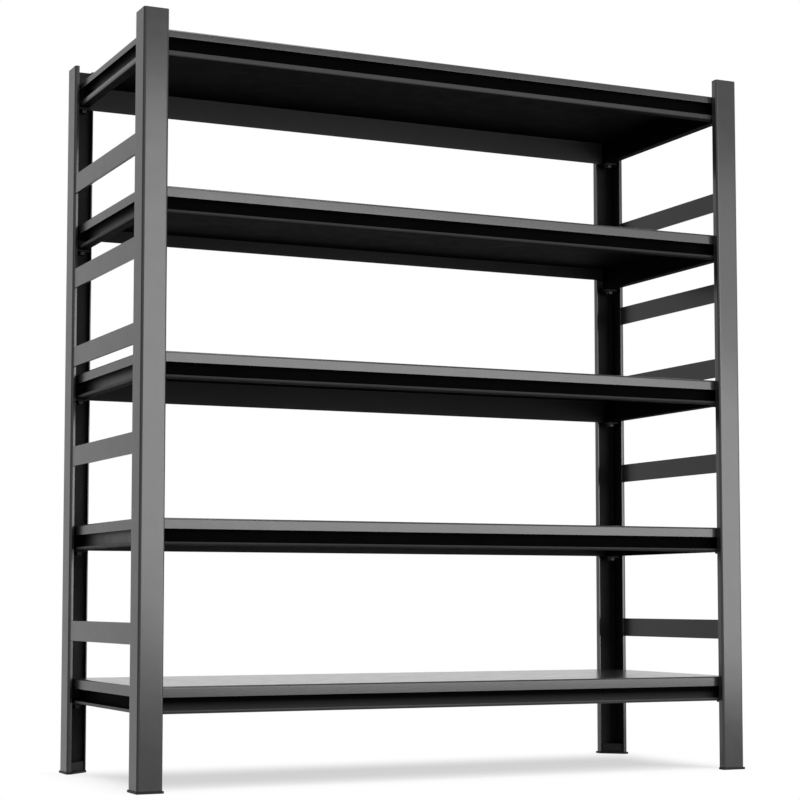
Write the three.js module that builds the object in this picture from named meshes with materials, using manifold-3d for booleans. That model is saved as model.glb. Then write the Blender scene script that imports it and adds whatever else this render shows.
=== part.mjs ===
// Free-standing steel storage rack. Four folded corner posts carry a top shelf and four
// loaded shelves, flat slats close the sides, and the front and the back are open.
// Millimetres. +Z is up, +Y is the back, and the origin is on the floor under the middle.

import * as THREE from 'three';
import Module from 'manifold-3d';
import { mergeVertices } from 'three/addons/utils/BufferGeometryUtils.js';

const wasm = await Module();
wasm.setup();

// Outside of the rack, measured over its posts.
const rackWidth = 714;
const rackDepth = 281;
const rackHeight = 790;

// Side slats: flat bar. A slat's rise is the height of its middle above the shelf below it.
const slatHeight = 22;
const slatThickness = 3;
const lowSlatRise = 52.5;
const middleSlatRise = 76;
const secondSlatRise = 18.5;
const thirdSlatRise = 106.5;
const highSlatRise = 45;
const slats = [
  { name: 'low', shelf: 0, rise: lowSlatRise },
  { name: 'middle', shelf: 1, rise: middleSlatRise },
  { name: 'second', shelf: 2, rise: secondSlatRise },
  { name: 'third', shelf: 2, rise: thirdSlatRise },
  { name: 'high', shelf: 3, rise: highSlatRise },
];

// Corner posts: one strip of sheet, folded to a web, a long outer leg with a small lip on
// its edge, and a short return on the inner edge. The inner corner stays open.
const postSheet = 1.5;
const postBend = 1.2;
const postWeb = 27;
const postLeg = 29;
const postReturn = 9;
const slatWeldMargin = 0.5;
const postLip = postSheet + slatThickness + slatWeldMargin;

// Shelves: a flat sheet with turned-down lips over an outward-facing edge channel. The top
// shelf has a shorter lip and a taller channel edge than the loaded shelves.
const shelfSheet = 1.2;
const shelfBend = 1;
const lipDrop = 11;
const topLipDrop = 8;
const edgeDrop = 27.5;
const shallowRearDrop = 15;
const channelDepth = 12;
const channelUpstand = 3.5;
const topChannelUpstand = 5.5;
const sideClearance = 2.5;
const frontClearance = 1;
const shelfSideInset = postLip + sideClearance;
const shelfFrontInset = postReturn + frontClearance;
const shelfWidth = rackWidth - 2 * shelfSideInset;
const shelfDepth = rackDepth - 2 * shelfFrontInset;

// Heights of the five top faces, from the lowest shelf up. The bays share the height between
// the lowest shelf and the top shelf, and the uppermost bay is a little lower than the rest.
const lowestShelfTop = 104.5;
const topShelfDrop = 18;
const uppermostBayShortfall = 6.5;
const loadedShelves = 4;
const baySpan = rackHeight - topShelfDrop + uppermostBayShortfall - lowestShelfTop;
const shelfPitch = baySpan / loadedShelves;
const shelfTops = [];
for (let i = 0; i < loadedShelves; i += 1) {
  shelfTops.push(lowestShelfTop + i * shelfPitch);
}
shelfTops.push(rackHeight - topShelfDrop);
const shelfNames = ['bottom', 'lower', 'middle', 'upper', 'top'];

// The shelves' edges, from the lowest shelf up. The rear flange is as deep as the edge
// channel on every shelf but the one below the top.
const loadedEdge = { lip: lipDrop, upstand: channelUpstand, rear: edgeDrop };
const upperEdge = { lip: lipDrop, upstand: channelUpstand, rear: shallowRearDrop };
const topEdge = { lip: topLipDrop, upstand: topChannelUpstand, rear: edgeDrop };
const shelfEdges = [loadedEdge, loadedEdge, loadedEdge, upperEdge, topEdge];

// Seats: small plates inside each post, one under each shelf corner, welded in.
const seatThickness = 2;
const seatMargin = 7;
const seatWeld = postSheet / 2;

// Screws that come up through a seat into a nut welded to the shelf's lower flange.
const screwDiameter = 5;
const screwHeadAcross = 8;
const screwHeadHeight = 3.5;
const screwTip = 1.5;
const screwHoleClearance = 0.3;
const screwHoleDiameter = screwDiameter + 2 * screwHoleClearance;
const nutAcross = 8;
const nutHeight = 4;
const screwInset = channelDepth / 2;

// Foot caps: a plate under each post, a little larger than the post, with a plug that goes up
// inside it.
const capThickness = 2.5;
const capFlare = 0.8;
const capPlugHeight = 10;
const capPlugGap = 1;

// How far a hole's cutter runs past the sheet on each side.
const cutOverrun = 2;

// How finely the round shapes are divided.
const bendSteps = 4;
const roundSides = 16;

const postColour = new THREE.Color(0x2b2b2b);
const shelfColour = new THREE.Color(0x292929);
const slatColour = new THREE.Color(0x2b2b2b);
const screwColour = new THREE.Color(0x343434);
const capColour = new THREE.Color(0x121212);

// The outline of a folded strip. The corners run along its outer face and all turn the
// same way by a right angle; the sheet lies on the inside of the turns.
function foldedStrip(corners, sheet, bend) {
  const points = corners.map(([u, v]) => new THREE.Vector2(u, v));
  const last = points.length - 1;
  const heading = (i) => points[i + 1].clone().sub(points[i]).normalize();
  const outer = [points[0]];
  const inner = [points[0].clone().addScaledVector(heading(1), sheet)];
  for (let i = 1; i < last; i += 1) {
    const before = heading(i - 1);
    const after = heading(i);
    const centre = points[i].clone();
    centre.addScaledVector(before, -(bend + sheet)).addScaledVector(after, bend + sheet);
    for (let step = 0; step <= bendSteps; step += 1) {
      const angle = (step / bendSteps) * (Math.PI / 2);
      const spoke = after.clone().multiplyScalar(-Math.cos(angle));
      spoke.addScaledVector(before, Math.sin(angle));
      outer.push(centre.clone().addScaledVector(spoke, bend + sheet));
      inner.push(centre.clone().addScaledVector(spoke, bend));
    }
  }
  outer.push(points[last]);
  inner.push(points[last].clone().addScaledVector(heading(last - 2), -sheet));
  return new THREE.Shape([...outer, ...inner.reverse()]);
}

// A prism of a flat outline. The three directions say where the outline's two axes and
// the length point, and start is where the outline's zero lies.
function prism(shape, length, across, up, along, start) {
  const geometry = new THREE.ExtrudeGeometry(shape, { depth: length, bevelEnabled: false });
  const matrix = new THREE.Matrix4().makeBasis(across, up, along).setPosition(start);
  return geometry.applyMatrix4(matrix);
}

function box(lowX, lowY, lowZ, highX, highY, highZ) {
  const geometry = new THREE.BoxGeometry(highX - lowX, highY - lowY, highZ - lowZ);
  return geometry.translate((lowX + highX) / 2, (lowY + highY) / 2, (lowZ + highZ) / 2);
}

function upright(shape, lowZ, highZ) {
  return prism(shape, highZ - lowZ, xAxis, yAxis, zAxis, new THREE.Vector3(0, 0, lowZ));
}

function roundBar(diameter, lowZ, highZ) {
  const radius = diameter / 2;
  const profile = [
    new THREE.Vector2(0, lowZ),
    new THREE.Vector2(radius, lowZ),
    new THREE.Vector2(radius, highZ),
    new THREE.Vector2(0, highZ),
  ];
  return new THREE.LatheGeometry(profile, roundSides).rotateX(Math.PI / 2);
}

function hexBar(across, lowZ, highZ) {
  const radius = across / Math.sqrt(3);
  const outline = [];
  for (let i = 0; i < 6; i += 1) {
    const angle = (i * Math.PI) / 3;
    outline.push(new THREE.Vector2(radius * Math.cos(angle), radius * Math.sin(angle)));
  }
  return upright(new THREE.Shape(outline), lowZ, highZ);
}

// A closed geometry as a solid that can be joined and cut, and back again.
function toSolid(geometry) {
  const bare = geometry.clone();
  bare.deleteAttribute('normal');
  bare.deleteAttribute('uv');
  const merged = mergeVertices(bare);
  const vertProperties = new Float32Array(merged.attributes.position.array);
  const triVerts = new Uint32Array(merged.index.array);
  return new wasm.Manifold(new wasm.Mesh({ numProp: 3, vertProperties, triVerts }));
}

function toGeometry(solid) {
  const mesh = solid.getMesh();
  const geometry = new THREE.BufferGeometry();
  geometry.setAttribute('position', new THREE.BufferAttribute(mesh.vertProperties, 3));
  geometry.setIndex(new THREE.BufferAttribute(mesh.triVerts, 1));
  return geometry;
}

function joined(geometries) {
  return geometries.map(toSolid).reduce((whole, piece) => whole.add(piece));
}

// The same geometry seen in a mirror across X or Y, with its faces kept pointing out.
function mirrored(geometry, signX, signY) {
  const copy = geometry.clone().scale(signX, signY, 1);
  if (signX * signY < 0) {
    const index = copy.index.array;
    for (let i = 0; i < index.length; i += 3) {
      const held = index[i];
      index[i] = index[i + 1];
      index[i + 1] = held;
    }
  }
  return copy;
}

const xAxis = new THREE.Vector3(1, 0, 0);
const yAxis = new THREE.Vector3(0, 1, 0);
const zAxis = new THREE.Vector3(0, 0, 1);
const backward = yAxis.clone().negate();
const leftward = xAxis.clone().negate();

// Where a screw stands, measured in from the outer corner of a post.
const screwX = shelfSideInset + screwInset;
const screwY = shelfFrontInset + screwInset;

// The front left post, its outer corner at zero. The other three are its mirror images.
function makePost() {
  const section = foldedStrip(
    [
      [postWeb, postReturn],
      [postWeb, 0],
      [0, 0],
      [0, postLeg],
      [postLip, postLeg],
    ],
    postSheet,
    postBend,
  );
  const seatRightX = screwX + seatMargin;
  const seatBackY = screwY + seatMargin;
  const pieces = [upright(section, capThickness, rackHeight)];
  for (const top of shelfTops) {
    const seatTop = top - edgeDrop;
    pieces.push(box(seatWeld, seatWeld, seatTop - seatThickness, seatRightX, seatBackY, seatTop));
  }
  let post = joined(pieces);
  for (const top of shelfTops) {
    const seatTop = top - edgeDrop;
    const lowZ = seatTop - seatThickness - cutOverrun;
    const hole = roundBar(screwHoleDiameter, lowZ, seatTop + cutOverrun);
    post = post.subtract(toSolid(hole.translate(screwX, screwY, 0)));
  }
  return toGeometry(post);
}

// The wedge of the shelf's plan that belongs to one edge, so that edges meet in a mitre.
// The wedge reaches past the outer face and up to the crossing of the two diagonals.
function frontWedge(halfAcross, halfOut, lowZ, highZ) {
  const spare = channelDepth;
  const outline = [
    new THREE.Vector2(-halfAcross - spare, -halfOut - spare),
    new THREE.Vector2(halfAcross + spare, -halfOut - spare),
    new THREE.Vector2(halfAcross - halfOut, 0),
    new THREE.Vector2(halfOut - halfAcross, 0),
  ];
  return upright(new THREE.Shape(outline), lowZ, highZ);
}

function sideWedge(halfAcross, halfOut, lowZ, highZ) {
  const spare = channelDepth;
  const outline = [
    new THREE.Vector2(-halfAcross - spare, -halfOut - spare),
    new THREE.Vector2(halfOut - halfAcross, 0),
    new THREE.Vector2(-halfAcross - spare, halfOut + spare),
  ];
  return upright(new THREE.Shape(outline), lowZ, highZ);
}

// A shelf with the given edges, centred, with its top face at zero.
function makeShelf(edge) {
  const halfWidth = shelfWidth / 2;
  const halfDepth = shelfDepth / 2;
  const lipReach = 2 * channelDepth;

  // Outlines run in from the outer face (first number) and up from the top face (second).
  const lipOutline = (drop) =>
    foldedStrip([[0, -drop], [0, 0], [lipReach, 0]], shelfSheet, shelfBend);
  const channelOutline = foldedStrip(
    [
      [0, edge.upstand - edgeDrop],
      [0, -edgeDrop],
      [channelDepth, -edgeDrop],
      [channelDepth, -shelfSheet / 2],
    ],
    shelfSheet,
    shelfBend,
  );
  const frontStart = new THREE.Vector3(-halfWidth, -halfDepth, 0);
  const rearStart = new THREE.Vector3(halfWidth, halfDepth, 0);
  const leftStart = new THREE.Vector3(-halfWidth, halfDepth, 0);
  const alongFront = (shape) => prism(shape, shelfWidth, yAxis, zAxis, xAxis, frontStart);
  const alongRear = (shape) => prism(shape, shelfWidth, backward, zAxis, leftward, rearStart);
  const alongLeft = (shape) => prism(shape, shelfDepth, xAxis, zAxis, backward, leftStart);

  const lowZ = -2 * edgeDrop;
  const highZ = edgeDrop;
  const front = toSolid(frontWedge(halfWidth, halfDepth, lowZ, highZ));
  const rear = toSolid(mirrored(toGeometry(front), 1, -1));
  const left = toSolid(sideWedge(halfWidth, halfDepth, lowZ, highZ));

  const frontLip = toSolid(alongFront(lipOutline(edge.lip))).intersect(front);
  const rearLip = toSolid(alongRear(lipOutline(edge.rear))).intersect(rear);
  const leftLip = toSolid(alongLeft(lipOutline(edge.lip))).intersect(left);
  const frontChannel = toSolid(alongFront(channelOutline)).intersect(front);
  // The side channels are cut square at the back, where no channel crosses them.
  const leftChannel = toSolid(alongLeft(channelOutline)).subtract(front);

  const nearEdge = lipReach / 2;
  const sheet = box(
    nearEdge - halfWidth,
    nearEdge - halfDepth,
    -shelfSheet,
    halfWidth - nearEdge,
    halfDepth - nearEdge,
    0,
  );
  const nutX = halfWidth - screwInset;
  const nutY = halfDepth - screwInset;
  const flangeTop = shelfSheet - edgeDrop;
  const nuts = [];
  const holes = [];
  for (const signX of [-1, 1]) {
    for (const signY of [-1, 1]) {
      const nut = hexBar(nutAcross, flangeTop - shelfSheet / 2, flangeTop + nutHeight);
      nuts.push(toSolid(nut.translate(signX * nutX, signY * nutY, 0)));
      const holeLow = -edgeDrop - cutOverrun;
      const holeHigh = flangeTop + nutHeight + cutOverrun;
      const hole = roundBar(screwHoleDiameter, holeLow, holeHigh);
      holes.push(toSolid(hole.translate(signX * nutX, signY * nutY, 0)));
    }
  }
  const leftSide = toGeometry(leftLip.add(leftChannel));
  const rightSide = toSolid(mirrored(leftSide, -1, 1));
  let shelf = toSolid(sheet).add(frontLip).add(rearLip).add(frontChannel);
  shelf = shelf.add(toSolid(leftSide)).add(rightSide);
  for (const nut of nuts) {
    shelf = shelf.add(nut);
  }
  for (const hole of holes) {
    shelf = shelf.subtract(hole);
  }
  return toGeometry(shelf);
}

// A screw, its axis at zero and the top of its head at zero height.
function makeScrew() {
  const length = seatThickness + shelfSheet + nutHeight + screwTip;
  const head = hexBar(screwHeadAcross, -screwHeadHeight, 0);
  const shank = roundBar(screwDiameter, -screwHeadHeight / 2, length);
  return toGeometry(joined([head, shank]));
}

// The foot cap of the front left post, with the post's outer corner at zero. Its plate is cut
// off across the post's open corner, and so is the plug.
function makeFootCap() {
  const capOutline = (near) =>
    new THREE.Shape([
      new THREE.Vector2(near, near),
      new THREE.Vector2(postWeb - near, near),
      new THREE.Vector2(postWeb - near, postReturn),
      new THREE.Vector2(postLip, postLeg - near),
      new THREE.Vector2(near, postLeg - near),
    ]);
  const plate = upright(capOutline(-capFlare), 0, capThickness);
  const plugOutline = capOutline(postSheet + capPlugGap);
  const plug = upright(plugOutline, capThickness / 2, capThickness + capPlugHeight);
  return toGeometry(joined([plate, plug]));
}

const rack = new THREE.Group();
rack.name = 'disc_rack';

function addMesh(name, geometry, colour, roughness, metalness, position) {
  const material = new THREE.MeshStandardMaterial({ color: colour, roughness, metalness });
  const mesh = new THREE.Mesh(geometry, material);
  mesh.name = name;
  mesh.position.copy(position);
  rack.add(mesh);
}

const paintRoughness = 0.45;
const paintMetalness = 0;
const screwRoughness = 0.4;
const screwMetalness = 0.8;
const capRoughness = 0.6;
const corners = [
  { name: 'front_left', signX: -1, signY: -1 },
  { name: 'front_right', signX: 1, signY: -1 },
  { name: 'rear_left', signX: -1, signY: 1 },
  { name: 'rear_right', signX: 1, signY: 1 },
];

const post = makePost();
const footCap = makeFootCap();
for (const { name, signX, signY } of corners) {
  const outerCorner = new THREE.Vector3(signX * (rackWidth / 2), signY * (rackDepth / 2), 0);
  const postCopy = mirrored(post, -signX, -signY);
  const capCopy = mirrored(footCap, -signX, -signY);
  addMesh(`post_${name}`, postCopy, postColour, paintRoughness, paintMetalness, outerCorner);
  addMesh(`foot_cap_${name}`, capCopy, capColour, capRoughness, paintMetalness, outerCorner);
}

shelfTops.forEach((top, i) => {
  const shelf = makeShelf(shelfEdges[i]);
  const place = new THREE.Vector3(0, 0, top);
  addMesh(`shelf_${shelfNames[i]}`, shelf, shelfColour, paintRoughness, paintMetalness, place);
});

const slatLength = rackDepth - 2 * postLeg;
const slatX = rackWidth / 2 - postSheet - slatThickness / 2;
for (const [side, signX] of [['left', -1], ['right', 1]]) {
  for (const { name, shelf: below, rise } of slats) {
    const slat = new THREE.BoxGeometry(slatThickness, slatLength, slatHeight);
    const place = new THREE.Vector3(signX * slatX, 0, shelfTops[below] + rise);
    addMesh(`slat_${side}_${name}`, slat, slatColour, paintRoughness, paintMetalness, place);
  }
}

const screw = makeScrew();
shelfTops.forEach((top, i) => {
  for (const { name, signX, signY } of corners) {
    const place = new THREE.Vector3(
      signX * (rackWidth / 2 - screwX),
      signY * (rackDepth / 2 - screwY),
      top - edgeDrop - seatThickness,
    );
    const screwName = `screw_${shelfNames[i]}_${name}`;
    addMesh(screwName, screw.clone(), screwColour, screwRoughness, screwMetalness, place);
  }
});

export default rack;
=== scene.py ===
# A free-standing storage rack in black powder-coated steel. The sections follow the rack as it
# is put together. Lengths are in metres, with +Z up and +Y to the back.

import math

import bmesh
import bpy
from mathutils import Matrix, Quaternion, Vector


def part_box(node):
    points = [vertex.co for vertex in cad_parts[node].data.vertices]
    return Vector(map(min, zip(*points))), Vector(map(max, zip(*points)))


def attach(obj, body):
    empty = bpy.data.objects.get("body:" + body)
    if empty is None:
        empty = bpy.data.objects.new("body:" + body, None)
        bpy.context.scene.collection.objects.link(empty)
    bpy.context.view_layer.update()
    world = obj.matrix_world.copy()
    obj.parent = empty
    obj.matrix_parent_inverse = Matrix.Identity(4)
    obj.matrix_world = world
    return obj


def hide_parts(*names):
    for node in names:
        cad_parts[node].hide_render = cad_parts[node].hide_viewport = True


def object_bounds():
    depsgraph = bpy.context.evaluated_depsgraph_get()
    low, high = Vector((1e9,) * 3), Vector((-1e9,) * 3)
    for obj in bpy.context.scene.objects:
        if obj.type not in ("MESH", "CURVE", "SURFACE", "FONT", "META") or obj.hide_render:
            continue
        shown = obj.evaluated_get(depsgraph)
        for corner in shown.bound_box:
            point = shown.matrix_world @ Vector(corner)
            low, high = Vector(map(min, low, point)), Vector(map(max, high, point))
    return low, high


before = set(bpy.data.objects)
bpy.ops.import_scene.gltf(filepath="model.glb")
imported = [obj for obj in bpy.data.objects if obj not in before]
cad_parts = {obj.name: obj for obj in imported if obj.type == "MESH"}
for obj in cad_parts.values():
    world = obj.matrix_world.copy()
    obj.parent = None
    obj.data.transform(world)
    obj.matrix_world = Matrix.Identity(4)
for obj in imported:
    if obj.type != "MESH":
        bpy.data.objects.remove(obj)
cad_low, cad_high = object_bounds()


# Corner posts. Each is one strip of 1.5 mm steel sheet, folded on a press brake to a front or
# back web, a long outer leg with a small lip on its edge, and a short return on the inner edge.
# The posts are powder coated in satin black after all welding.

mm = 0.001
post_low, post_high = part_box("post_front_left")
far_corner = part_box("post_rear_right")[1]
web_width = post_high.x - post_low.x
leg_depth = post_high.y - post_low.y
post_sheet = 1.5 * mm
post_bend = 1.2 * mm
post_return = 9 * mm
post_lip = 5 * mm
cut_edge_round = 0.3 * mm
bend_steps = 8
sharp_angle = math.radians(40)
crease_angle = math.radians(35)

corners = [
    ("front_left", -1, -1),
    ("front_right", 1, -1),
    ("rear_left", -1, 1),
    ("rear_right", 1, 1),
]


def folded_outline(points, sheet, bend):
    """The outline of a folded strip. Its sheet lies on the inside of its right-angle turns."""
    points = [Vector(point) for point in points]
    headings = [(b - a).normalized() for a, b in zip(points, points[1:])]
    outer = [points[0]]
    inner = [points[0] + headings[1] * sheet]
    for before, after, corner in zip(headings, headings[1:], points[1:]):
        centre = corner + (after - before) * (bend + sheet)
        for step in range(bend_steps + 1):
            angle = math.pi / 2 * step / bend_steps
            spoke = before * math.sin(angle) - after * math.cos(angle)
            outer.append(centre + spoke * (bend + sheet))
            inner.append(centre + spoke * bend)
    outer.append(points[-1])
    inner.append(points[-1] - headings[-2] * sheet)
    return outer + inner[::-1]


def join_rings(mesh, rings, capped=True):
    """Faces from each closed ring of points to the next, and on the first and the last ring
    where they are capped. The faces between the rings are given back."""
    between = []
    for ring, following in zip(rings, rings[1:]):
        for i in range(len(ring)):
            j = (i + 1) % len(ring)
            between.append(mesh.faces.new((ring[i], ring[j], following[j], following[i])))
    if capped:
        mesh.faces.new(rings[0])
        mesh.faces.new(rings[-1])
    return between


def add_bar(mesh, outline, place, start, end):
    """A solid bar of one outline. place turns outline and length numbers into a point."""
    rings = []
    for along in (start, end):
        rings.append([mesh.verts.new(place(u, v, along)) for u, v in outline])
    join_rings(mesh, rings)


def is_sharp(edge):
    """Whether an edge turns more than a step of a bend does."""
    return len(edge.link_faces) == 2 and edge.calc_face_angle() > sharp_angle


def ease_edges(mesh, width, steps=2, edges=None):
    """Rounds the given edges, or else every sharp one."""
    bmesh.ops.recalc_face_normals(mesh, faces=mesh.faces)
    if edges is None:
        edges = [edge for edge in mesh.edges if is_sharp(edge)]
    bmesh.ops.bevel(
        mesh,
        geom=edges,
        offset=width,
        segments=steps,
        profile=0.5,
        affect="EDGES",
        clamp_overlap=False,
    )


def add_ring_plate(mesh, outside, inside, place, low, high):
    """A flat plate with a hole. Both outlines have the same number of points."""
    rings = []
    for outline, level in ((outside, low), (outside, high), (inside, high), (inside, low)):
        rings.append([mesh.verts.new(place(u, v, level)) for u, v in outline])
    join_rings(mesh, rings + rings[:1], capped=False)


def circle(centre, radius, count):
    """A number of points at even angles on a circle."""
    turn = 2 * math.pi / count
    return [
        centre + Vector((math.cos(turn * i), math.sin(turn * i))) * radius for i in range(count)
    ]


nearly_zero = 1e-6


def rectangle_round(centre, low, high, count):
    """Points on a rectangle, each straight out from the centre at a circle's even angles."""
    points = []
    for direction in circle(Vector((0, 0)), 1, count):
        reach = []
        for axis in (0, 1):
            if abs(direction[axis]) > nearly_zero:
                side = high[axis] if direction[axis] > 0 else low[axis]
                reach.append((side - centre[axis]) / direction[axis])
        points.append(centre + direction * min(reach))
    return points


weld_ripple = 1.5 * mm
weld_ripple_share = 0.14
weld_steps_per_ripple = 4
weld_least_steps = 8
weld_arc_steps = 6
weld_end_power = 6
weld_end_share = 0.02


def add_weld(mesh, start, end, side_a, side_b, spread=90):
    """A bead from start to end, rippled along its length and fading out at both ends. Its
    section is an arc of spread degrees that starts at side_a and turns towards side_b."""
    length = (end - start).length
    steps = max(weld_least_steps, round(length / weld_ripple * weld_steps_per_ripple))
    rings = []
    for step in range(steps + 1):
        share = step / steps
        fade = math.sqrt(max(weld_end_share, 1 - (2 * share - 1) ** weld_end_power))
        ripple = abs(math.sin(math.pi * share * length / weld_ripple))
        size = fade * (1 - weld_ripple_share * ripple)
        centre = start.lerp(end, share)
        ring = []
        for k in range(weld_arc_steps + 1):
            angle = math.radians(spread) * k / weld_arc_steps
            offset = side_a * math.cos(angle) + side_b * math.sin(angle)
            ring.append(mesh.verts.new(centre + offset * size))
        if spread < 180:
            ring.append(mesh.verts.new(centre))
        rings.append(ring)
    join_rings(mesh, rings)


def all_over(material):
    """The rule for a piece with the same finish all over."""
    return lambda middle, normal: material


def finish_piece(name, mesh, finish, node):
    """Turns the drawn mesh into a piece of the rack that stands for its plain node. finish is
    a rule that gives the material of a face from its middle and its normal."""
    bmesh.ops.recalc_face_normals(mesh, faces=mesh.faces)
    materials = []
    for face in mesh.faces:
        material = finish(face.calc_center_median(), face.normal)
        if material not in materials:
            materials.append(material)
        face.material_index = materials.index(material)
    data = bpy.data.meshes.new(name)
    mesh.to_mesh(data)
    mesh.free()
    for material in materials:
        data.materials.append(material)
    data.shade_smooth()
    data.set_sharp_from_angle(angle=crease_angle)
    piece = bpy.data.objects.new(name, data)
    bpy.context.scene.collection.objects.link(piece)
    weighted = piece.modifiers.new("even_shading", "WEIGHTED_NORMAL")
    weighted.keep_sharp = True
    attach(piece, "root")
    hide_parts(node)


def add_node(material, kind, **settings):
    """A new node of a material, with its settings."""
    node = material.node_tree.nodes.new(kind)
    for name, value in settings.items():
        setattr(node, name, value)
    return node


def add_noise(material, place, scale, detail, roughness=0.5):
    """Noise that lies still in the rack's own space."""
    noise = add_node(material, "ShaderNodeTexNoise")
    noise.inputs["Scale"].default_value = scale
    noise.inputs["Detail"].default_value = detail
    noise.inputs["Roughness"].default_value = roughness
    material.node_tree.links.new(place, noise.inputs["Vector"])
    return noise.outputs["Fac"]


def spread_to(material, value, low, high, from_low=0.3, from_high=0.7):
    """A value between from_low and from_high, spread from low to high."""
    ranged = add_node(material, "ShaderNodeMapRange")
    ranged.inputs["From Min"].default_value = from_low
    ranged.inputs["From Max"].default_value = from_high
    ranged.inputs["To Min"].default_value = low
    ranged.inputs["To Max"].default_value = high
    material.node_tree.links.new(value, ranged.inputs["Value"])
    return ranged.outputs["Result"]


def add_bump(material, height, distance, strength, under=None):
    """A surface that rises and falls with a height, over an uneven one under it."""
    bump = add_node(material, "ShaderNodeBump")
    bump.inputs["Distance"].default_value = distance
    bump.inputs["Strength"].default_value = strength
    material.node_tree.links.new(height, bump.inputs["Height"])
    if under is not None:
        material.node_tree.links.new(under, bump.inputs["Normal"])
    return bump.outputs["Normal"]


# The sockets where a mix node takes its two numbers or colours and gives the result.
mix_sockets = {"FLOAT": (2, 3, 0), "RGBA": (6, 7, 2)}


def add_mix(material, kind, share, first, second):
    """A mix of two numbers or colours. Each is plain or comes from another node."""
    mix = add_node(material, "ShaderNodeMix", data_type=kind)
    *taken, given = mix_sockets[kind]
    material.node_tree.links.new(share, mix.inputs[0])
    for value, socket in zip((first, second), taken):
        if isinstance(value, bpy.types.NodeSocket):
            material.node_tree.links.new(value, mix.inputs[socket])
        else:
            mix.inputs[socket].default_value = value
    return mix.outputs[given]


# The near-black colour and the dullness that a painted shade fades to.
painted_shade_colour = (0.002, 0.002, 0.002, 1)
painted_shade_roughness = 1


def powder_coat(name, dark, light, smooth, rough, gloss=0.5, shade_heights=None):
    """Baked powder, a satin film with a fine orange peel over slightly uneven sheet. Between the
    two heights given for painted shade, it fades to dull near-black: a painted shade."""
    material = bpy.data.materials.new(name)
    material.use_nodes = True
    links = material.node_tree.links
    shader = material.node_tree.nodes["Principled BSDF"]
    shader.inputs["Metallic"].default_value = 0
    shader.inputs["IOR"].default_value = 1.5
    shader.inputs["Specular IOR Level"].default_value = gloss
    place = add_node(material, "ShaderNodeTexCoord").outputs["Object"]
    clouds = add_noise(material, place, scale=9, detail=4, roughness=0.6)
    clouds = spread_to(material, clouds, low=0, high=1)
    colour = add_mix(material, "RGBA", clouds, (*dark, 1), (*light, 1))
    film = add_noise(material, place, scale=55, detail=5, roughness=0.65)
    dullness = spread_to(material, film, low=smooth, high=rough)
    # Painted shade: between the two heights the colour fades to near black and the film to dull.
    if shade_heights is not None:
        height = add_node(material, "ShaderNodeSeparateXYZ")
        links.new(place, height.inputs["Vector"])
        shade_share = spread_to(material, height.outputs["Z"], 0, 1, *shade_heights)
        colour = add_mix(material, "RGBA", shade_share, colour, painted_shade_colour)
        dullness = add_mix(material, "FLOAT", shade_share, dullness, painted_shade_roughness)
    links.new(colour, shader.inputs["Base Color"])
    links.new(dullness, shader.inputs["Roughness"])
    waves = add_noise(material, place, scale=8, detail=1)
    wavy = add_bump(material, waves, distance=0.25 * mm, strength=0.12)
    orange_peel = add_noise(material, place, scale=420, detail=2)
    peeled = add_bump(material, orange_peel, distance=0.05 * mm, strength=0.5, under=wavy)
    grains = add_noise(material, place, scale=1700, detail=1)
    grainy = add_bump(material, grains, distance=0.012 * mm, strength=0.5, under=peeled)
    links.new(grainy, shader.inputs["Normal"])
    return material


post_paint = powder_coat(
    "post_powder_coat",
    dark=(0.024, 0.024, 0.025),
    light=(0.028, 0.028, 0.029),
    smooth=0.14,
    rough=0.19,
)
# The gun works from the front and the back, so the sides get less powder and come out duller.
side_paint = powder_coat(
    "side_powder_coat",
    dark=(0.024, 0.024, 0.025),
    light=(0.029, 0.029, 0.030),
    smooth=0.21,
    rough=0.27,
    gloss=0.24,
)
# Painted shade: a near-black, dull copy of the coat stands in for the shade inside each post's
# fold.
fold_shade_paint = powder_coat(
    "painted_shade_in_folds",
    dark=(0.008, 0.008, 0.008),
    light=(0.014, 0.014, 0.014),
    smooth=0.55,
    rough=0.66,
    gloss=0.14,
)
# A face lies in a hollow where the point this far in front of it does, and looks to one side
# where at least this share of its normal points there.
look_ahead = 2.5 * mm
facing_share = 0.7

# Seat plates are welded inside each post, one under each corner of each shelf.
shelf_names = ["bottom", "lower", "middle", "upper", "top"]
shelf_lows = [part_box("shelf_" + name)[0].z for name in shelf_names]
screw_low, screw_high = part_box("screw_bottom_front_left")
screw_middle = (screw_low + screw_high) / 2
screw_from_corner = Vector((screw_middle.x - post_low.x, screw_middle.y - post_low.y))
seat_thickness = 2 * mm
seat_margin = 7 * mm
seat_hole = 2.8 * mm
seat_hole_points = 32
seat_weld = 1.7 * mm
seat_weld_inset = 2 * mm

post_strip = folded_outline(
    [(web_width, post_return), (web_width, 0), (0, 0), (0, leg_depth), (post_lip, leg_depth)],
    post_sheet,
    post_bend,
)
seat_near = Vector((post_sheet, post_sheet))
seat_far = screw_from_corner + Vector((seat_margin, seat_margin))
seat_outside = rectangle_round(screw_from_corner, seat_near, seat_far, seat_hole_points)
seat_inside = circle(screw_from_corner, seat_hole, seat_hole_points)


def from_corner(side_x, side_y):
    """The rule that places points at one corner of the rack. u and v are the distances from
    its outer edge, along the rack's width and its depth."""
    return lambda u, v, z: Vector((side_x * (far_corner.x - u), side_y * (far_corner.y - v), z))


def post_finish(side_x, side_y):
    """The rule for a post's finish, with painted shade in its hollow and duller powder on its
    outer side."""

    def finish(middle, normal):
        ahead = middle + normal * look_ahead
        u = far_corner.x - side_x * ahead.x
        v = far_corner.y - side_y * ahead.y
        fits_web = post_sheet < u < web_width - post_sheet
        fits_leg = post_sheet < v < leg_depth - post_sheet
        # Faces inside the fold get the painted shade.
        if fits_web and fits_leg:
            return fold_shade_paint
        return side_paint if side_x * normal.x > facing_share else post_paint

    return finish


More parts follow.
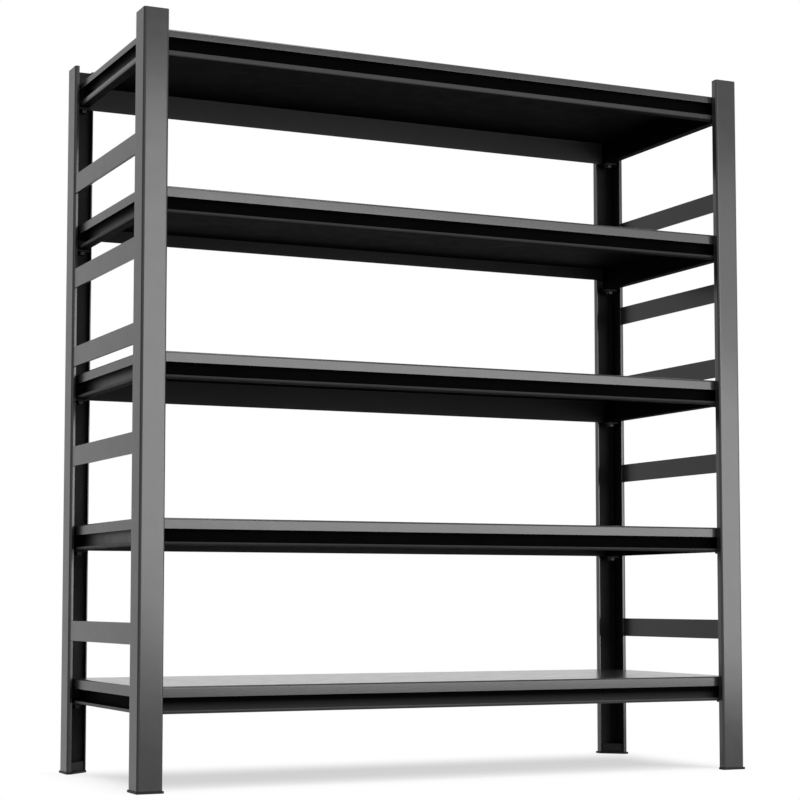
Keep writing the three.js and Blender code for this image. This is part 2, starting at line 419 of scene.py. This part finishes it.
for corner_name, side_x, side_y in corners:
    in_post = from_corner(side_x, side_y)
    post = bmesh.new()
    add_bar(post, post_strip, in_post, post_low.z, post_high.z)
    for seat_top in shelf_lows:
        seat_low = seat_top - seat_thickness
        add_ring_plate(post, seat_outside, seat_inside, in_post, seat_low, seat_top)
    ease_edges(post, cut_edge_round)
    down = Vector((0, 0, -seat_weld))
    out_of_web = Vector((0, -side_y * seat_weld, 0))
    out_of_leg = Vector((-side_x * seat_weld, 0, 0))
    for seat_top in shelf_lows:
        seat_low = seat_top - seat_thickness
        web_start = in_post(seat_near.x + seat_weld_inset, post_sheet, seat_low)
        web_end = in_post(seat_far.x - seat_weld_inset, post_sheet, seat_low)
        add_weld(post, web_start, web_end, out_of_web, down)
        leg_start = in_post(post_sheet, seat_near.y + seat_weld_inset, seat_low)
        leg_end = in_post(post_sheet, seat_far.y - seat_weld_inset, seat_low)
        add_weld(post, leg_start, leg_end, out_of_leg, down)
    name = "corner_post_" + corner_name
    finish = post_finish(side_x, side_y)
    finish_piece(name, post, finish, "post_" + corner_name)


# Foot caps. Each is a moulding in matt black plastic, a plate under the post with a ribbed
# plug that is pressed up inside it. Both are cut off across the post's open corner.

cap_low, cap_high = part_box("foot_cap_front_left")
cap_flare = post_low.x - cap_low.x
cap_plate_top = post_low.z
cap_edge_round = 0.3 * mm
plug_gap = 1 * mm
plug_near = post_sheet + plug_gap
plug_wall = 1.6 * mm
plug_ribs = 2


def moulded_plastic(name, dark, light):
    """A plastic with the fine grain of its mould and a slight cloudiness."""
    material = bpy.data.materials.new(name)
    material.use_nodes = True
    links = material.node_tree.links
    shader = material.node_tree.nodes["Principled BSDF"]
    shader.inputs["IOR"].default_value = 1.46
    shader.inputs["Specular IOR Level"].default_value = 0.25
    place = add_node(material, "ShaderNodeTexCoord").outputs["Object"]
    clouds = add_noise(material, place, scale=60, detail=4)
    clouds = spread_to(material, clouds, low=0, high=1)
    colour = add_mix(material, "RGBA", clouds, (*dark, 1), (*light, 1))
    links.new(colour, shader.inputs["Base Color"])
    grain = add_noise(material, place, scale=900, detail=3, roughness=0.6)
    links.new(spread_to(material, grain, low=0.52, high=0.68), shader.inputs["Roughness"])
    grainy = add_bump(material, grain, distance=0.06 * mm, strength=0.6)
    links.new(grainy, shader.inputs["Normal"])
    return material


cap_plastic = moulded_plastic(
    "foot_cap_plastic",
    dark=(0.004, 0.004, 0.004),
    light=(0.008, 0.008, 0.008),
)


def cap_outline(near):
    """A foot cap's plan, its sides moved in by near, with the cut across the open corner."""
    right, back = web_width - near, leg_depth - near
    return [(near, near), (right, near), (right, post_return), (post_lip, back), (near, back)]


def drawn_in(outline, wall):
    """A convex outline with every side moved in by a wall's thickness."""
    points = [Vector(point) for point in outline]
    moved = []
    for i, point in enumerate(points):
        before = (point - points[i - 1]).normalized()
        after = (points[(i + 1) % len(points)] - point).normalized()
        moved.append(point + (after - before) * (wall / before.cross(after)))
    return moved


for corner_name, side_x, side_y in corners:
    in_cap = from_corner(side_x, side_y)
    cap = bmesh.new()
    add_bar(cap, cap_outline(-cap_flare), in_cap, cap_low.z, cap_plate_top)
    outside = cap_outline(plug_near)
    inside = drawn_in(outside, plug_wall)
    add_ring_plate(cap, outside, inside, in_cap, cap_plate_top, cap_high.z)
    slope_start, slope_end = inside[2], inside[3]
    for rib in range(plug_ribs):
        share = (rib + 1) / (plug_ribs + 1)
        rib_end = slope_start.lerp(slope_end, share)
        rib_outline = [
            (inside[0].x, rib_end.y - plug_wall / 2),
            (rib_end.x, rib_end.y - plug_wall / 2),
            (rib_end.x, rib_end.y + plug_wall / 2),
            (inside[0].x, rib_end.y + plug_wall / 2),
        ]
        add_bar(cap, rib_outline, in_cap, cap_plate_top, cap_high.z - plug_wall)
    ease_edges(cap, cap_edge_round)
    name = "cap_under_post_" + corner_name
    finish_piece(name, cap, all_over(cap_plastic), "foot_cap_" + corner_name)


# Side slats. Each is a length of rolled flat bar with soft edges, cut square, set between the
# lips of a front and a rear post and welded to both from the inside, then coated with them.

slat_names = ["low", "middle", "second", "third", "high"]
slat_edge_round = 0.7 * mm
slat_edge_steps = 4
slat_weld_reach = 1.9 * mm
slat_weld_crown = 1.1 * mm
slat_weld_end = 1.5 * mm


def in_slat(u, v, along):
    """Places a point of a slat, which runs from the front to the back."""
    return Vector((u, along, v))


for side in ("left", "right"):
    for slat_name in slat_names:
        node = f"slat_{side}_{slat_name}"
        low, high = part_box(node)
        slat = bmesh.new()
        section = [(low.x, low.z), (high.x, low.z), (high.x, high.z), (low.x, high.z)]
        add_bar(slat, section, in_slat, low.y, high.y)
        long_edges = [e for e in slat.edges if abs(e.verts[0].co.y - e.verts[1].co.y) > mm]
        ease_edges(slat, slat_edge_round, slat_edge_steps, long_edges)
        inner_x = high.x if side == "left" else low.x
        inward = 1 if side == "left" else -1
        for end_y in (low.y, high.y):
            start = Vector((inner_x, end_y, low.z + slat_weld_end))
            end = Vector((inner_x, end_y, high.z - slat_weld_end))
            along_slat = Vector((0, slat_weld_reach, 0))
            out_of_slat = Vector((inward * slat_weld_crown, 0, 0))
            add_weld(slat, start, end, along_slat, out_of_slat, spread=180)
        name = f"side_slat_{side}_{slat_name}"
        finish_piece(name, slat, all_over(side_paint), node)


# Shelves. Each is a tray of 1.2 mm steel turned upside down, with a short lip folded down on
# the front and the sides and a deeper flange at the back. An outward-facing channel is spot
# welded under its front and side edges, and a weld nut sits in each corner.

shelf_low, shelf_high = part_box("shelf_bottom")
shelf_sheet = 1.2 * mm
shelf_bend = 1 * mm
edge_drop = shelf_high.z - shelf_low.z
rear_flange_from = shelf_high.y - 2 * shelf_sheet
channel_depth = 12 * mm
# The lips and the channel lie within this much of the edges.
edge_zone = 2 * channel_depth
nut_across = 8 * mm
nut_height = 4 * mm
shelf_cut_round = 0.25 * mm
tiny = 0.01 * mm

# The top shelf has a shorter lip and a taller channel rim, and the upper one a shallow flange.
lip_drop = 11 * mm
top_lip_drop = 8 * mm
channel_rim = 3.5 * mm
top_channel_rim = 5.5 * mm
upper_flange_drop = 15 * mm
# How far under the lip the painted shade on the bottom shelf's front web is at its darkest.
shade_band_under_lip = 5 * mm

shelf_paint = powder_coat(
    "shelf_powder_coat",
    dark=(0.021, 0.021, 0.022),
    light=(0.025, 0.025, 0.026),
    smooth=0.18,
    rough=0.24,
)
# Painted shade: a nearly black, dull copy of the coat stands in for the shade in the hollow
# under the sheet and on the channel webs that lie in it.
hollow_shade_paint = powder_coat(
    "painted_shade_under_shelf",
    dark=(0.0015, 0.0015, 0.0015),
    light=(0.003, 0.003, 0.003),
    smooth=0.62,
    rough=0.74,
    gloss=0.01,
)
# The set-back channel comes out duller than the lips, most of all along its rim, which is also a
# darker copy of the coat: painted shade under the lip.
shaded_rim_paint = powder_coat(
    "shaded_channel_powder_coat",
    dark=(0.018, 0.018, 0.019),
    light=(0.022, 0.022, 0.023),
    smooth=0.46,
    rough=0.54,
    gloss=0.12,
)
side_web_paint = powder_coat(
    "side_channel_powder_coat",
    dark=(0.021, 0.021, 0.022),
    light=(0.025, 0.025, 0.026),
    smooth=0.42,
    rough=0.50,
    gloss=0.36,
)
# On the top and the bottom shelf the channel's front rim, and the bottom shelf's side rims, are a
# lighter, glossier copy of the rim coat: a painted light. The top shelf's side webs are glossier
# than the others. The bottom shelf's front web is a lighter copy again that darkens up towards
# the lip to near black: painted light below and painted shade under the lip.
lit_outer_rim_paint = powder_coat(
    "lit_outer_channel_powder_coat",
    dark=(0.020, 0.020, 0.021),
    light=(0.024, 0.024, 0.025),
    smooth=0.44,
    rough=0.52,
    gloss=0.26,
)
# Painted light and shade: a lighter copy of the coat that fades to near black up towards the lip.
bottom_web_light_and_shade_paint = powder_coat(
    "bottom_web_painted_light_and_shade",
    dark=(0.036, 0.036, 0.037),
    light=(0.042, 0.042, 0.043),
    smooth=0.55,
    rough=0.64,
    gloss=0.05,
    shade_heights=(shelf_low.z + channel_rim, shelf_high.z - lip_drop - shade_band_under_lip),
)
top_side_web_paint = powder_coat(
    "top_side_channel_powder_coat",
    dark=(0.021, 0.021, 0.022),
    light=(0.025, 0.025, 0.026),
    smooth=0.42,
    rough=0.50,
    gloss=1.0,
)
# Finishes of a channel on its front rim, its side rims, its side webs and its front web, first
# between two bays and then on the bottom and the top shelf.
channel_between = (shaded_rim_paint, shaded_rim_paint, side_web_paint, hollow_shade_paint)
outer_channels = {
    "bottom": (lit_outer_rim_paint, lit_outer_rim_paint, hollow_shade_paint, bottom_web_light_and_shade_paint),
    "top": (lit_outer_rim_paint, side_paint, top_side_web_paint, hollow_shade_paint),
}


def tray_loop(mesh, inset, z):
    """Four corners of the shelf's plan, drawn in by an inset."""
    left, right = shelf_low.x + inset, shelf_high.x - inset
    front, rear = shelf_low.y + inset, shelf_high.y - inset
    plan = [(left, front), (right, front), (right, rear), (left, rear)]
    return [mesh.verts.new((x, y, z)) for x, y in plan]


def add_tray(mesh, top, drop, rear_drop):
    """The sheet with its folded lips, drawn as rings from the middle of the top, over the
    lips and back to the middle of the underside. The rear lip is then drawn down further."""
    lip = folded_outline([(0, -drop), (0, 0), (edge_zone, 0)], shelf_sheet, shelf_bend)
    outer = lip[: len(lip) // 2]
    inner = lip[len(lip) // 2 :]
    rings = [tray_loop(mesh, inset, top + z) for inset, z in outer[::-1] + inner[::-1]]
    bands = join_rings(mesh, rings)
    above_edge = top - drop + tiny
    under_lips = [band for band in bands if max(v.co.z for v in band.verts) < above_edge]
    rear_edge = [band for band in under_lips if min(v.co.y for v in band.verts) > rear_flange_from]
    drawn = bmesh.ops.extrude_face_region(mesh, geom=rear_edge)
    mesh.faces.remove(rear_edge[0])
    for item in drawn["geom"]:
        if isinstance(item, bmesh.types.BMVert):
            item.co.z = top - rear_drop


def add_channel(mesh, top, rim):
    """The edge channel, in one run along the left side, the front and the right side."""
    section = folded_outline(
        [
            (0, rim - edge_drop),
            (0, -edge_drop),
            (channel_depth, -edge_drop),
            (channel_depth, -shelf_sheet),
        ],
        shelf_sheet,
        shelf_bend,
    )
    rear = shelf_high.y - shelf_sheet
    rings = []
    for inset, z in section:
        left, right = shelf_low.x + inset, shelf_high.x - inset
        front = shelf_low.y + inset
        plan = [(left, rear), (left, front), (right, front), (right, rear)]
        rings.append([mesh.verts.new((x, y, top + z)) for x, y in plan])
    for ring, following in zip(rings, rings[1:] + rings[:1]):
        for i in range(3):
            mesh.faces.new((ring[i], ring[i + 1], following[i + 1], following[i]))
    mesh.faces.new([ring[0] for ring in rings])
    mesh.faces.new([ring[3] for ring in rings])


hexagon_points = 24
hexagon_side_angle = math.pi / 3


def hexagon(middle, across):
    """Points round a hexagon of a width across its flats, at the even angles of a circle."""
    points = []
    for direction in circle(Vector((0, 0)), 1, hexagon_points):
        past_corner = math.atan2(direction.y, direction.x) % hexagon_side_angle
        reach = across / 2 / math.cos(past_corner - hexagon_side_angle / 2)
        points.append(middle + direction * reach)
    return points


def in_plan(x, y, z):
    """Places a point of a plate whose outline is given in the rack's own plan."""
    return Vector((x, y, z))


def shelf_finish(top, drop, channel):
    """The rule for a shelf's finish. The channel's rims and webs have finishes of their own,
    and so have the sides, and what looks into the hollow under the sheet gets painted shade.
    The inside of the rear flange is finished as the front rim is."""
    front_rim, side_rim, side_web, front_web = channel
    ceiling = top - shelf_sheet
    lip_end = top - drop - tiny

    def finish(middle, normal):
        ahead = middle + normal * look_ahead
        fits_width = shelf_low.x < ahead.x < shelf_high.x
        fits_depth = shelf_low.y < ahead.y < shelf_high.y
        at_rear = middle.y > rear_flange_from
        at_side = abs(normal.x) > facing_share
        if fits_width and fits_depth and ahead.z < ceiling:
            if at_side and normal.x * middle.x > 0:
                return side_web
            if normal.y < -facing_share and middle.y < shelf_low.y + edge_zone:
                return front_web
            return front_rim if at_rear else hollow_shade_paint
        if middle.z < lip_end and not at_rear:
            return side_rim if at_side else front_rim
        return side_paint if at_side else shelf_paint

    return finish


for shelf_name in shelf_names:
    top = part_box("shelf_" + shelf_name)[1].z
    at_top = shelf_name == "top"
    drop = top_lip_drop if at_top else lip_drop
    rear_drop = upper_flange_drop if shelf_name == "upper" else edge_drop
    shelf = bmesh.new()
    add_tray(shelf, top, drop, rear_drop)
    add_channel(shelf, top, top_channel_rim if at_top else channel_rim)
    ease_edges(shelf, shelf_cut_round)
    nut_low = top - edge_drop + shelf_sheet
    nut_x = shelf_high.x - channel_depth / 2
    nut_y = shelf_high.y - channel_depth / 2
    for side_x in (-1, 1):
        for side_y in (-1, 1):
            middle = Vector((side_x * nut_x, side_y * nut_y))
            nut = hexagon(middle, nut_across)
            bore = circle(middle, seat_hole, hexagon_points)
            add_ring_plate(shelf, nut, bore, in_plan, nut_low, nut_low + nut_height)
    name = "shelf_tray_" + shelf_name
    finish = shelf_finish(top, drop, outer_channels.get(shelf_name, channel_between))
    finish_piece(name, shelf, finish, "shelf_" + shelf_name)


# Screws. Twenty hexagon screws in blackened zinc-plated steel come up through the seats and
# into the weld nuts, and hold the shelves down on the posts.

screw_head_across = 8 * mm
screw_head_height = 3.5 * mm
screw_head_chamfer = 0.5 * mm
screw_radius = 2.5 * mm
thread_depth = 0.35 * mm
thread_pitch = 0.8 * mm
thread_sides = 20
thread_rings_per_turn = 8
# The tip narrows by the first share over one turn of the thread, and is cut off with the
# second share of that turn to go.
tip_taper_share = 0.15
tip_end_share = 0.35


def plated_steel(name, dark, light):
    """Blackened plating over turned steel, with fine turning marks and duller patches."""
    material = bpy.data.materials.new(name)
    material.use_nodes = True
    links = material.node_tree.links
    shader = material.node_tree.nodes["Principled BSDF"]
    shader.inputs["Metallic"].default_value = 0.85
    shader.inputs["Specular IOR Level"].default_value = 0.2
    shader.inputs["Specular Tint"].default_value = (0.1, 0.1, 0.1, 1)
    place = add_node(material, "ShaderNodeTexCoord").outputs["Object"]
    patches = add_noise(material, place, scale=260, detail=4, roughness=0.6)
    patches = spread_to(material, patches, low=0, high=1)
    colour = add_mix(material, "RGBA", patches, (*dark, 1), (*light, 1))
    links.new(colour, shader.inputs["Base Color"])
    dullness = spread_to(material, patches, low=0.42, high=0.6, from_low=0, from_high=1)
    links.new(dullness, shader.inputs["Roughness"])
    marks = add_noise(material, place, scale=2600, detail=2)
    turned = add_bump(material, marks, distance=0.02 * mm, strength=0.5)
    links.new(turned, shader.inputs["Normal"])
    return material


screw_steel = plated_steel(
    "blackened_screw_steel",
    dark=(0.025, 0.025, 0.026),
    light=(0.042, 0.042, 0.044),
)


def draw_screw(mesh, middle, low, high):
    """A chamfered hexagon head and a shank with its thread, drawn as rings from the bottom."""
    head_top = low + screw_head_height
    outlines = [
        (circle(middle, screw_head_across / 2, hexagon_points), low),
        (hexagon(middle, screw_head_across), low + screw_head_chamfer),
        (hexagon(middle, screw_head_across), head_top),
    ]
    head = []
    for outline, level in outlines:
        head.append([mesh.verts.new((*point, level)) for point in outline])
    join_rings(mesh, head)
    steps = round((high - head_top) / thread_pitch * thread_rings_per_turn)
    shank = []
    for step in range(steps + 1):
        z = head_top + (high - head_top) * step / steps
        fullness = min(1, (high - z) / thread_pitch + tip_end_share)
        taper = 1 - tip_taper_share + tip_taper_share * fullness
        ring = []
        for i, direction in enumerate(circle(Vector((0, 0)), 1, thread_sides)):
            turn = ((z - head_top) / thread_pitch - i / thread_sides) % 1
            groove = thread_depth * abs(2 * turn - 1)
            reach = (screw_radius - groove) * taper
            ring.append(mesh.verts.new((*(middle + direction * reach), z)))
        shank.append(ring)
    join_rings(mesh, shank)


for shelf_name in shelf_names:
    for corner_name, _, _ in corners:
        node = f"screw_{shelf_name}_{corner_name}"
        low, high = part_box(node)
        middle = Vector(((low.x + high.x) / 2, (low.y + high.y) / 2))
        screw = bmesh.new()
        draw_screw(screw, middle, low.z, high.z)
        name = f"hex_screw_{shelf_name}_{corner_name}"
        finish_piece(name, screw, all_over(screw_steel), node)


# Studio floor and surroundings. A seamless white floor keeps the rack's own soft shadow under
# the rack and turns plain white around it, where it meets a white sky.

floor_half = 30
floor_gap = 0.1 * mm
scattering_floor = (0.3, 0.3, 0.3, 1)
shadow_floor_share = 0.42
shadow_fade_at_ends = 0.07
shadow_fade_across = 0.12
shadow_fade_outside = 0.04
sky_light = 0.32


def seen_directly(tree):
    """One for what the eye, a gloss or a clear material sees, and zero for scattered light."""
    path = tree.nodes.new("ShaderNodeLightPath")
    value = path.outputs["Is Camera Ray"]
    for name in ("Is Glossy Ray", "Is Transmission Ray"):
        larger = tree.nodes.new("ShaderNodeMath")
        larger.operation = "MAXIMUM"
        tree.links.new(value, larger.inputs[0])
        tree.links.new(path.outputs[name], larger.inputs[1])
        value = larger.outputs["Value"]
    return value


def white_floor():
    """A floor that is seen white, with the shadow near the rack, and scatters little light."""
    material = bpy.data.materials.new("studio_floor_white")
    material.use_nodes = True
    tree = material.node_tree
    tree.nodes.clear()
    place = tree.nodes.new("ShaderNodeNewGeometry").outputs["Position"]
    from_middle = tree.nodes.new("ShaderNodeVectorMath")
    from_middle.operation = "ABSOLUTE"
    tree.links.new(place, from_middle.inputs[0])
    parts = tree.nodes.new("ShaderNodeSeparateXYZ")
    tree.links.new(from_middle.outputs["Vector"], parts.inputs[0])
    fade = tree.nodes.new("ShaderNodeMath")
    fade.operation = "MAXIMUM"
    sides = [("X", far_corner.x, shadow_fade_at_ends), ("Y", far_corner.y, shadow_fade_across)]
    for (axis, edge, inside), taken in zip(sides, fade.inputs):
        across = tree.nodes.new("ShaderNodeMapRange")
        across.interpolation_type = "SMOOTHSTEP"
        across.inputs["From Min"].default_value = edge - inside
        across.inputs["From Max"].default_value = edge + shadow_fade_outside
        tree.links.new(parts.outputs[axis], across.inputs["Value"])
        tree.links.new(across.outputs["Result"], taken)
    shadowed = tree.nodes.new("ShaderNodeBsdfDiffuse")
    shadowed.inputs["Color"].default_value = (shadow_floor_share,) * 3 + (1,)
    base_light = tree.nodes.new("ShaderNodeEmission")
    base_light.inputs["Strength"].default_value = 1 - shadow_floor_share
    near = tree.nodes.new("ShaderNodeAddShader")
    tree.links.new(shadowed.outputs[0], near.inputs[0])
    tree.links.new(base_light.outputs[0], near.inputs[1])
    far = tree.nodes.new("ShaderNodeEmission")
    seen = tree.nodes.new("ShaderNodeMixShader")
    tree.links.new(fade.outputs["Value"], seen.inputs[0])
    tree.links.new(near.outputs[0], seen.inputs[1])
    tree.links.new(far.outputs[0], seen.inputs[2])
    scattered = tree.nodes.new("ShaderNodeBsdfDiffuse")
    scattered.inputs["Color"].default_value = scattering_floor
    both = tree.nodes.new("ShaderNodeMixShader")
    tree.links.new(seen_directly(tree), both.inputs[0])
    tree.links.new(scattered.outputs[0], both.inputs[1])
    tree.links.new(seen.outputs[0], both.inputs[2])
    output = tree.nodes.new("ShaderNodeOutputMaterial")
    tree.links.new(both.outputs[0], output.inputs["Surface"])
    return material


floor_mesh = bmesh.new()
floor_z = cad_low.z - floor_gap
floor_corners = [
    (-floor_half, -floor_half),
    (floor_half, -floor_half),
    (floor_half, floor_half),
    (-floor_half, floor_half),
]
floor_mesh.faces.new([floor_mesh.verts.new((x, y, floor_z)) for x, y in floor_corners])
floor_data = bpy.data.meshes.new("studio_floor")
floor_mesh.to_mesh(floor_data)
floor_mesh.free()
floor_data.materials.append(white_floor())
studio_floor = bpy.data.objects.new("studio_floor", floor_data)
bpy.context.scene.collection.objects.link(studio_floor)

sky = bpy.data.worlds.new("studio_sky")
bpy.context.scene.world = sky
sky.use_nodes = True
sky.node_tree.nodes.clear()
sky_tree = sky.node_tree
soft_light = sky_tree.nodes.new("ShaderNodeBackground")
soft_light.inputs["Strength"].default_value = sky_light
white = sky_tree.nodes.new("ShaderNodeBackground")
white.inputs["Color"].default_value = (1, 1, 1, 1)
chosen = sky_tree.nodes.new("ShaderNodeMixShader")
sky_tree.links.new(seen_directly(sky_tree), chosen.inputs[0])
sky_tree.links.new(soft_light.outputs[0], chosen.inputs[1])
sky_tree.links.new(white.outputs[0], chosen.inputs[2])
sky_output = sky_tree.nodes.new("ShaderNodeOutputWorld")
sky_tree.links.new(chosen.outputs[0], sky_output.inputs["Surface"])


# Lamps. Two long soft boxes stand in front and to the right, one close behind the other, and
# draw the sheen along the posts. A large one overhead makes the shadow.

rack_middle = (cad_low + cad_high) / 2


def soft_box(name, place, aim, width, height, power, tilt=0):
    """A soft box at a place, turned to its aim and then tilted round that line."""
    lamp = bpy.data.lights.new(name, "AREA")
    lamp.shape = "RECTANGLE"
    lamp.size = width
    lamp.size_y = height
    lamp.energy = power
    lit = bpy.data.objects.new(name, lamp)
    bpy.context.scene.collection.objects.link(lit)
    facing = (Vector(aim) - Vector(place)).to_track_quat("-Z", "Y")
    lit.rotation_mode = "QUATERNION"
    aim_line = Vector((0, 0, -1))
    aim_line.rotate(facing)
    lit.rotation_quaternion = Quaternion(aim_line, math.radians(tilt)) @ facing
    lit.location = place


soft_box(
    "steep_soft_box",
    place=(0.9, -1.95, 0.385),
    aim=(0, 0, 0.385),
    width=2.1,
    height=1.02,
    power=19,
    tilt=26.9,
)
soft_box(
    "level_soft_box",
    place=(0.92, -2.0, 0.506),
    aim=(0, 0, 0.506),
    width=2.1,
    height=1.36,
    power=18,
    tilt=8.6,
)
soft_box(
    "overhead_soft_box",
    place=(-0.2, -0.5, 2.3),
    aim=rack_middle,
    width=1.6,
    height=1.2,
    power=34,
)


# Camera. It stands low in front of the rack and to its left, looks slightly up, and is a long
# lens whose frame is moved up a little.

camera_data = bpy.data.cameras.new("portrait_camera")
camera_data.sensor_width = 36
camera_data.lens = 90.73
camera_data.shift_y = 0.06
camera_data.clip_start = 0.05
camera_data.clip_end = 100
camera = bpy.data.objects.new("portrait_camera", camera_data)
bpy.context.scene.collection.objects.link(camera)
camera.location = (-0.9654, -2.0616, 0.1903)
camera_pitch = 4.32
camera_turn = 24.94
camera.rotation_euler = (math.radians(90 + camera_pitch), 0, math.radians(-camera_turn))
bpy.context.scene.camera = camera
bpy.context.scene.view_settings.view_transform = "Standard"
